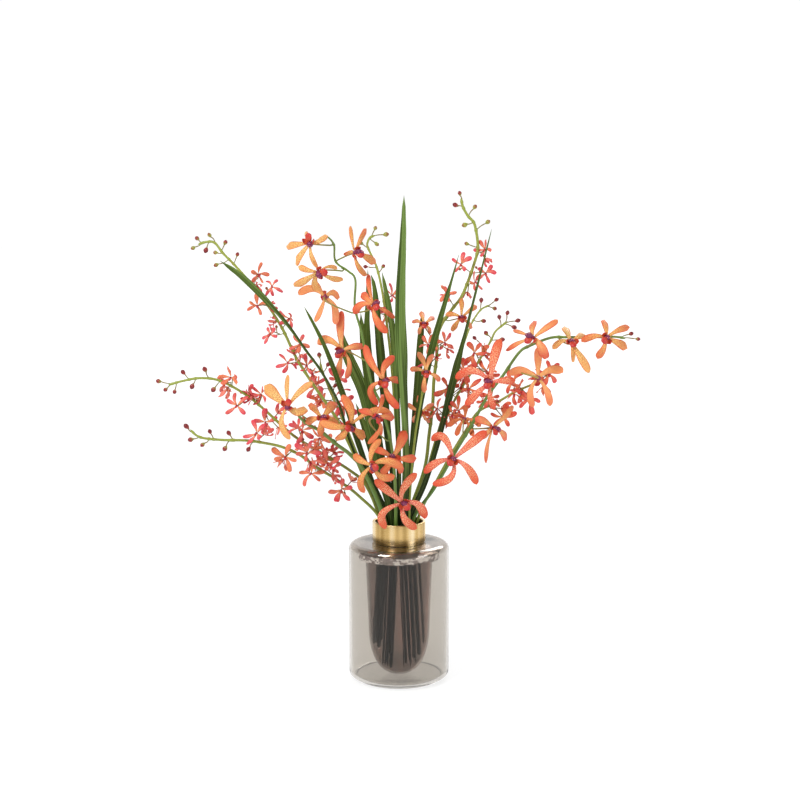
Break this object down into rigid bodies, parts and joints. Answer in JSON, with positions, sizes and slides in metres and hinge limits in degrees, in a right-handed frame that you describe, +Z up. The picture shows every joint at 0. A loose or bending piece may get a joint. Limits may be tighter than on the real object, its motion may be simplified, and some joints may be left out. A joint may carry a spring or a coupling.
{
  "type": "cut vanda orchid arrangement in a glass vase",
  "caption": "Cut vanda orchid sprays with orange star blooms, fine bud sprays and strap leaves, standing in a double-walled smoked glass vase with a brass collar.",
  "frame": {"origin": "middle of the flat foot of the vase, on the surface it stands on", "axes": "+Z up along the axis of the vase, -Y towards the front of the arrangement, +X to the right seen from the front"},
  "size_m": [0.7033, 0.2723, 0.7267],
  "materials": {
    "clear_glass": "thick clear pale grey glass, polished",
    "smoked_glass": "dark smoked glass, mirror-bright at the shoulder",
    "brass": "satin brushed brass",
    "leaf": "deep green strap leaf, lighter toward the tip, fine long veins",
    "stem": "olive green stem, satin",
    "petal_orange": "orange petals with pale speckles toward the middle, velvety",
    "petal_pink": "coral pink small blooms and dark red buds on an olive stem"
  },
  "bodies": {
    "root": {"outer_glass": "clear_glass", "inner_vessel": "smoked_glass", "brass_collar": "brass", "leaf_01": "leaf", "leaf_02": "leaf", "leaf_03": "leaf", "leaf_04": "leaf", "leaf_05": "leaf", "leaf_06": "leaf", "leaf_07": "leaf", "leaf_08": "leaf", "leaf_09": "leaf", "leaf_10": "leaf", "leaf_11": "leaf", "leaf_12": "leaf", "spray_a": "stem", "spray_b": "stem", "spray_c": "stem", "spray_d": "stem", "spray_e": "petal_pink", "spray_f": "petal_pink", "spray_g": "petal_pink", "spray_h": "petal_pink", "spray_i": "stem", "spray_j": "petal_pink", "spray_k": "petal_pink", "spray_l": "petal_pink", "spray_m": "petal_pink", "spray_n": "stem", "bloom_01": "petal_orange", "bloom_02": "petal_orange", "bloom_03": "petal_orange", "bloom_04": "petal_orange", "bloom_05": "petal_orange", "bloom_06": "petal_orange", "bloom_07": "petal_orange", "bloom_08": "petal_orange", "bloom_09": "petal_orange", "bloom_10": "petal_orange", "bloom_11": "petal_orange", "bloom_12": "petal_orange", "bloom_13": "petal_orange", "bloom_14": "petal_orange", "bloom_15": "petal_orange", "bloom_16": "petal_orange", "bloom_17": "petal_orange", "bloom_18": "petal_orange", "bloom_19": "petal_orange", "bloom_20": "petal_orange", "bloom_21": "petal_orange", "bloom_22": "petal_orange", "bloom_23": "petal_orange", "bloom_24": "petal_orange", "bloom_25": "petal_orange", "bloom_26": "petal_orange"}
  },
  "joints": []
}
